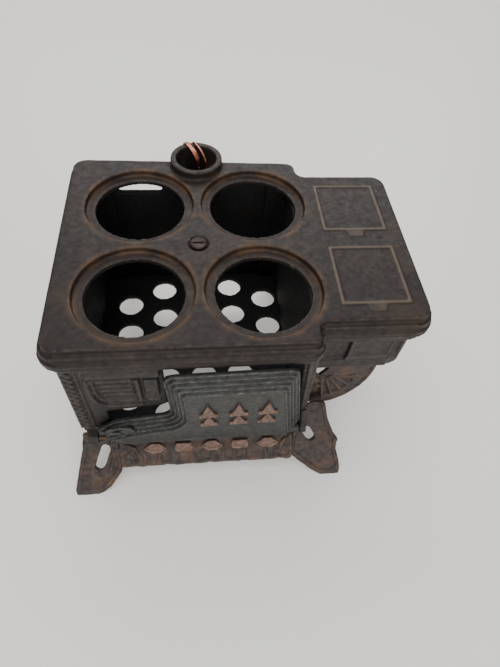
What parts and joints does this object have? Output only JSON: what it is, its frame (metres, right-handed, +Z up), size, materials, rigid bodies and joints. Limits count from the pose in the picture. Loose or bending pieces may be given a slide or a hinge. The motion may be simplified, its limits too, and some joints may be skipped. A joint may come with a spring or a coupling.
{
  "type": "miniature cook stove",
  "caption": "Miniature cast iron cook stove on flared legs, with open lid holes, a short flue collar, a side reservoir shelf and a stepped oven door hinged at its lower edge.",
  "frame": {"origin": "on the ground under the middle of the whole object's box", "axes": "+X to the reservoir shelf along the greatest length, +Y to the rear with the flue collar, +Z up"},
  "size_m": [0.1316, 0.123, 0.084],
  "materials": {
    "iron_top": "cast, dull, worn to brown-grey with rust on the edges of the holes",
    "iron_body": "cast, dull grey, lighter on raised edges",
    "iron_door": "cast, grey-green, with reddish rust on raised ornament",
    "iron_rusted": "cast, brown rust with darker pits",
    "screw_steel": "oxidised to reddish brown",
    "copper": "bright sheet copper, lightly tarnished"
  },
  "bodies": {
    "stove": {"cooktop": "iron_top", "front_wall": "iron_body", "back_wall": "iron_body", "left_wall": "iron_body", "right_wall": "iron_body", "base_floor": "iron_body", "front_skirt": "iron_rusted", "leg_front_left": "iron_rusted", "leg_front_right": "iron_rusted", "leg_rear_left": "iron_rusted", "leg_rear_right": "iron_rusted", "hinge_pin": "screw_steel", "reservoir_box": "iron_body", "bracket_front": "iron_rusted", "bracket_rear": "iron_rusted", "clamp_screw": "screw_steel", "clamp_nut": "screw_steel", "flue_strip_wide": "copper", "flue_strip_thin": "copper"},
    "door": {"oven_door": "iron_door"}
  },
  "joints": [
    {"name": "oven_door_hinge", "type": "hinge", "parent": "stove", "child": "door", "pos_m": [0, -0.04565, 0.0205], "axis": [1, 0, 0], "range_deg": [-1.5, 90]}
  ]
}
